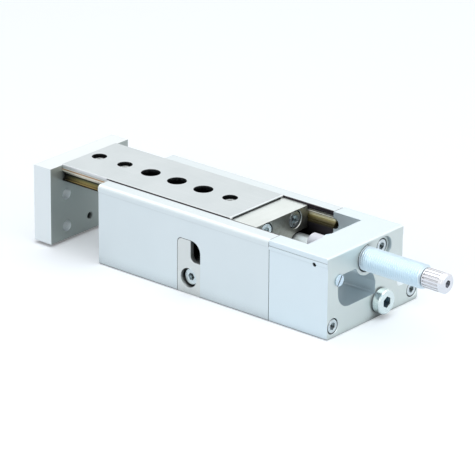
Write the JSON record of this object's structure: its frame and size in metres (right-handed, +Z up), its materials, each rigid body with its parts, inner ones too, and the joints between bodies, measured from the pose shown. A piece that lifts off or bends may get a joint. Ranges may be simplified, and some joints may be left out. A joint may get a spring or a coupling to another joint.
{
  "type": "pneumatic slide table",
  "caption": "Pneumatic slide table: a steel slide on ball guides in an aluminium housing, with a front yoke plate and a rear cap that holds a shock absorber.",
  "frame": {"origin": "base plane of the housing, on the slide's centre line, midway between the housing's front face and the rear cap", "axes": "+X along the travel towards the shock absorber, the yoke is at -X; +Z up, away from the base; +Y towards the low side flange"},
  "size_m": [0.2759, 0.0814, 0.0492],
  "materials": {
    "body_alloy": "clear anodised, fine blasted",
    "cap_alloy": "clear anodised, fine blasted",
    "yoke_alloy": "clear anodised",
    "slide_steel": "surface ground",
    "block_steel": "nickel plated, milled",
    "rail_steel": "ground, oiled",
    "plate_alloy": "clear anodised, milled",
    "zinc_steel": "zinc plated, blue passivated",
    "screw_steel": "zinc plated",
    "dark_steel": "black oxide",
    "bronze": "turned bronze",
    "cage_brass": "stamped brass",
    "ball_steel": "polished",
    "rod_steel": "hard chromed",
    "piston_alloy": "turned",
    "seal_rubber": "matte",
    "magnet_ferrite": "plastic bonded",
    "bumper_plastic": "satin"
  },
  "bodies": {
    "housing": {"housing": "body_alloy", "rear_cap": "cap_alloy", "rear_cap_screws": "screw_steel", "absorber_lock_screw": "screw_steel", "slotted_screw": "zinc_steel", "cap_set_screw": "dark_steel", "guide_rail_near": "rail_steel", "guide_rail_far": "rail_steel", "rail_dowels": "screw_steel", "rod_gland": "bronze", "rod_seal": "seal_rubber", "gland_retaining_ring": "dark_steel", "cylinder_end_plug": "piston_alloy", "end_plug_o_ring": "seal_rubber", "side_plate": "plate_alloy", "side_plate_screw": "screw_steel", "stop_buffer": "seal_rubber", "absorber_body": "zinc_steel", "absorber_adjuster": "zinc_steel", "port_plug": "zinc_steel", "port_plug_seal": "piston_alloy"},
    "slide": {"slide_table": "slide_steel", "stop_block": "block_steel", "stop_block_screws": "screw_steel", "yoke_plate": "yoke_alloy", "yoke_screws": "screw_steel", "yoke_dowels": "rod_steel", "piston_rod": "rod_steel", "rod_screw": "screw_steel", "piston": "piston_alloy", "piston_seals": "seal_rubber", "piston_magnet": "magnet_ferrite"},
    "cage_near": {"ball_cage_near": "cage_brass", "balls_near": "ball_steel"},
    "cage_far": {"ball_cage_far": "cage_brass", "balls_far": "ball_steel"},
    "plunger": {"absorber_plunger": "rod_steel", "absorber_bumper": "bumper_plastic"}
  },
  "joints": [
    {"name": "slide_travel", "type": "slide", "parent": "housing", "child": "slide", "axis": [-1, 0, 0], "range_m": [-0.0213, 0.0134]},
    {"name": "cage_near_travel", "type": "slide", "parent": "housing", "child": "cage_near", "axis": [-1, 0, 0], "range_m": [-0.011, 0.007]},
    {"name": "cage_far_travel", "type": "slide", "parent": "housing", "child": "cage_far", "axis": [-1, 0, 0], "range_m": [-0.011, 0.007]},
    {"name": "absorber_stroke", "type": "slide", "parent": "housing", "child": "plunger", "axis": [1, 0, 0], "range_m": [0, 0.0095], "stiffness_N_per_m": 1000, "springref_m": -0.008}
  ],
  "couplings": [
    {"joint": "cage_near_travel", "follows": "slide_travel", "ratio": 0.5},
    {"joint": "cage_far_travel", "follows": "slide_travel", "ratio": 0.5}
  ]
}
